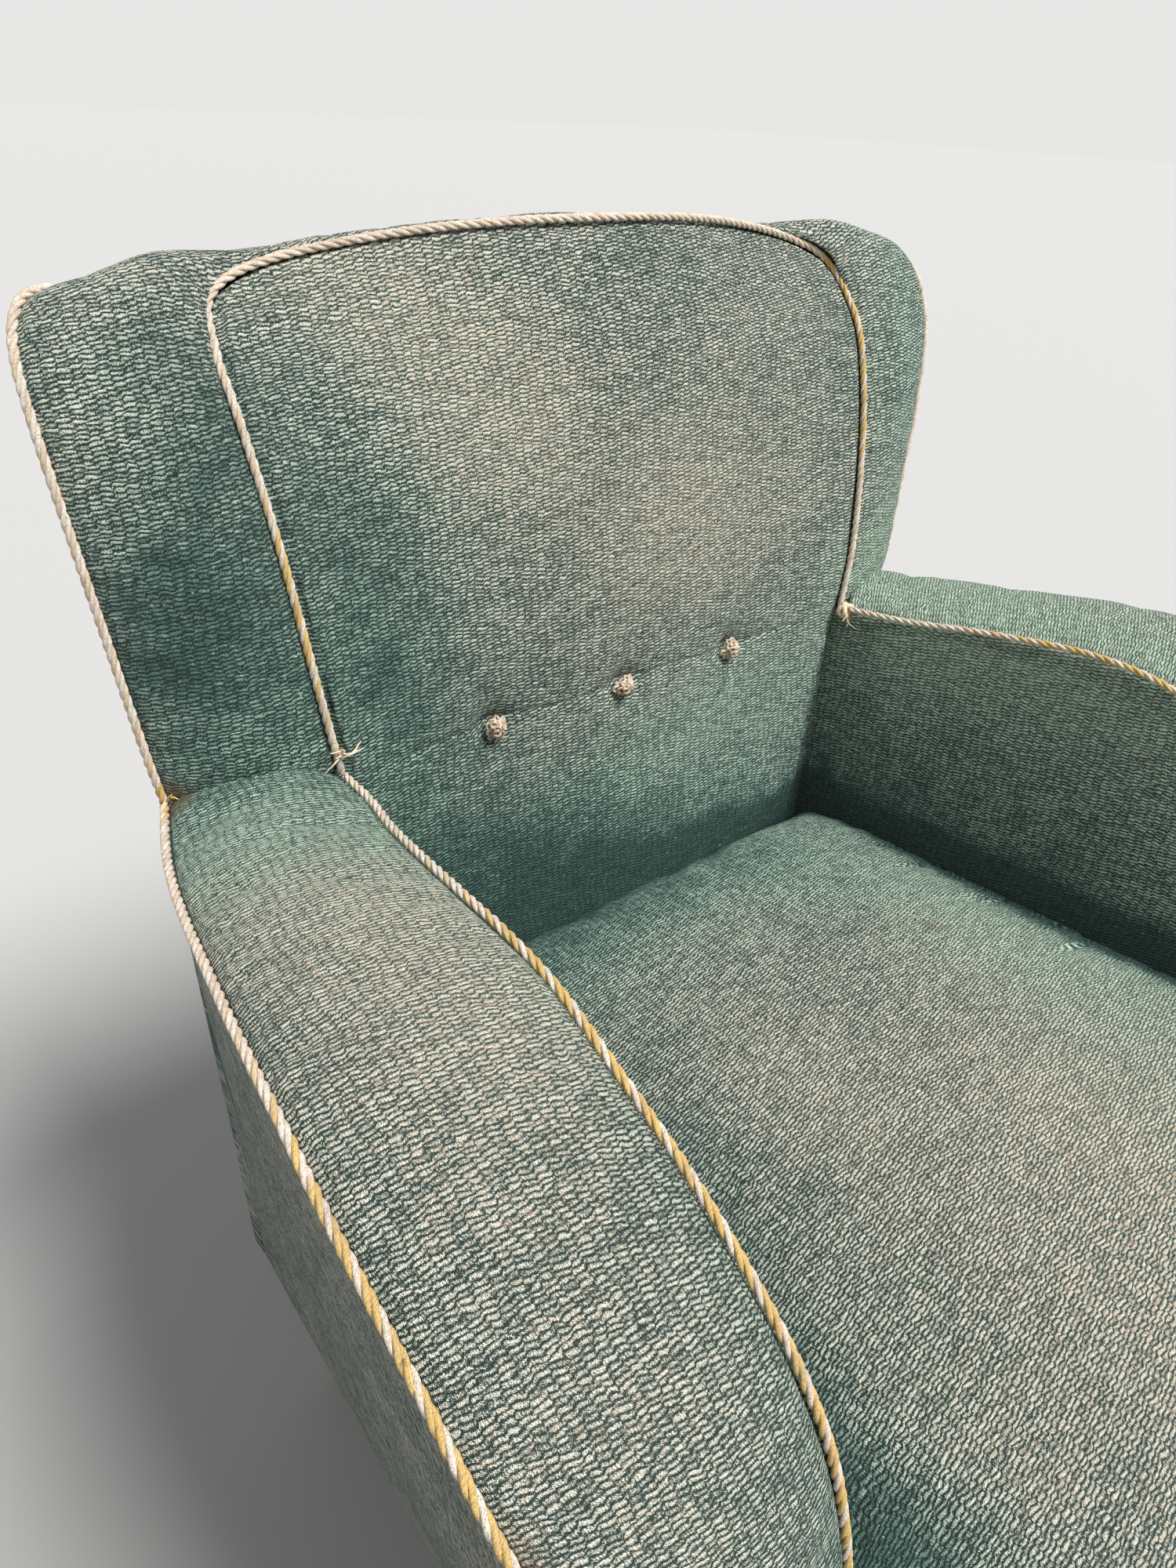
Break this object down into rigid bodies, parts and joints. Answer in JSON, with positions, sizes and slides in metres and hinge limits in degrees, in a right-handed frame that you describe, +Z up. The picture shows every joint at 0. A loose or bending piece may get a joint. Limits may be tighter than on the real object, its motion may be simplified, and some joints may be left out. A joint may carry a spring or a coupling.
{
  "type": "upholstered armchair",
  "caption": "Old upholstered easy chair with a curved winged back, arms that roll down to the front, corded seams, buttons on the inside back and tapered wooden legs.",
  "frame": {"origin": "on the floor, under the middle of the bounding box", "axes": "+Z up, the sitter faces -Y, +X is the right side seen from the front"},
  "size_m": [0.803, 0.6689, 0.8462],
  "materials": {
    "wool_cover": "coarse ribbed wool, blue green, faded and worn",
    "seam_cord": "twisted cream and ochre cord, soiled",
    "button_yarn": "tufts of cream and brown yarn",
    "beech_frame": "raw sawn beech",
    "stained_leg": "dark stained beech, worn varnish",
    "spring_steel": "dull oiled steel wire",
    "jute_webbing": "herringbone jute webbing",
    "hessian": "loose plain weave",
    "stuffing": "curled horsehair and fibre",
    "dust_cloth": "thin black cotton"
  },
  "bodies": {
    "root": {"seat_cover": "wool_cover", "inside_back_cover": "wool_cover", "back_border_cover": "wool_cover", "outside_back_cover": "wool_cover", "left_arm_top_cover": "wool_cover", "right_arm_top_cover": "wool_cover", "inside_left_arm_cover": "wool_cover", "inside_right_arm_cover": "wool_cover", "outside_left_arm_cover": "wool_cover", "outside_right_arm_cover": "wool_cover", "back_inner_cord": "seam_cord", "back_outer_cord": "seam_cord", "left_arm_inner_cord": "seam_cord", "left_arm_outer_cord": "seam_cord", "right_arm_inner_cord": "seam_cord", "right_arm_outer_cord": "seam_cord", "left_button": "button_yarn", "middle_button": "button_yarn", "right_button": "button_yarn", "front_seat_rail": "beech_frame", "rear_seat_rail": "beech_frame", "left_seat_rail": "beech_frame", "right_seat_rail": "beech_frame", "front_left_corner_block": "beech_frame", "front_right_corner_block": "beech_frame", "rear_left_corner_block": "beech_frame", "rear_right_corner_block": "beech_frame", "left_back_post": "beech_frame", "right_back_post": "beech_frame", "back_top_rail": "beech_frame", "back_lower_rail": "beech_frame", "left_arm_tack_rail": "beech_frame", "right_arm_tack_rail": "beech_frame", "left_arm_board": "beech_frame", "right_arm_board": "beech_frame", "left_arm_post": "beech_frame", "right_arm_post": "beech_frame", "front_left_leg": "stained_leg", "front_right_leg": "stained_leg", "rear_left_leg": "stained_leg", "rear_right_leg": "stained_leg", "seat_spring_1": "spring_steel", "seat_spring_2": "spring_steel", "seat_spring_3": "spring_steel", "seat_spring_4": "spring_steel", "seat_spring_5": "spring_steel", "seat_spring_6": "spring_steel", "seat_spring_7": "spring_steel", "seat_spring_8": "spring_steel", "seat_spring_9": "spring_steel", "seat_webbing": "jute_webbing", "back_webbing": "jute_webbing", "spring_hessian": "hessian", "back_hessian": "hessian", "seat_stuffing": "stuffing", "back_stuffing": "stuffing", "back_border_padding": "stuffing", "left_arm_padding": "stuffing", "right_arm_padding": "stuffing", "dust_cloth": "dust_cloth"}
  },
  "joints": []
}
